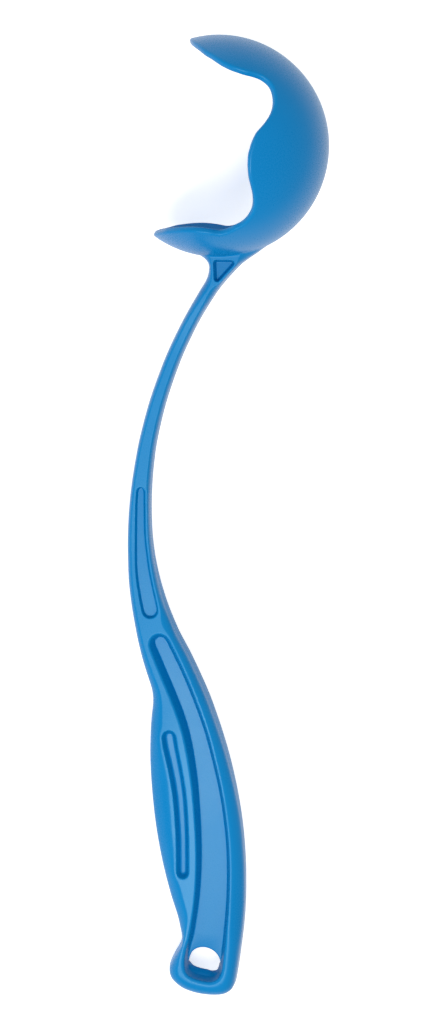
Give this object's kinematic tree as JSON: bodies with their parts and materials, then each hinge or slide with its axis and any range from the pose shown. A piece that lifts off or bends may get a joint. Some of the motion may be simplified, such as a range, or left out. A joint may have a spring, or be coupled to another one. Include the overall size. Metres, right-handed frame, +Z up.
{
  "type": "dog ball thrower",
  "caption": "One-piece moulded plastic ball thrower: an open spherical cup that snaps over a ball, on a curved arm with a channelled handle and a hang hole.",
  "frame": {"origin": "middle of the bounding box, on the surface that the thrower lies on", "axes": "+Z up from that surface, +Y along the thrower from the handle's end to the cup, +X towards the closed side of the cup"},
  "size_m": [0.063, 0.3126, 0.06],
  "materials": {
    "moulded_plastic": "satin moulded plastic, mid blue"
  },
  "bodies": {
    "root": {"ball_cup": "moulded_plastic", "neck": "moulded_plastic", "shaft": "moulded_plastic", "grip": "moulded_plastic", "hang_loop": "moulded_plastic"}
  },
  "joints": []
}
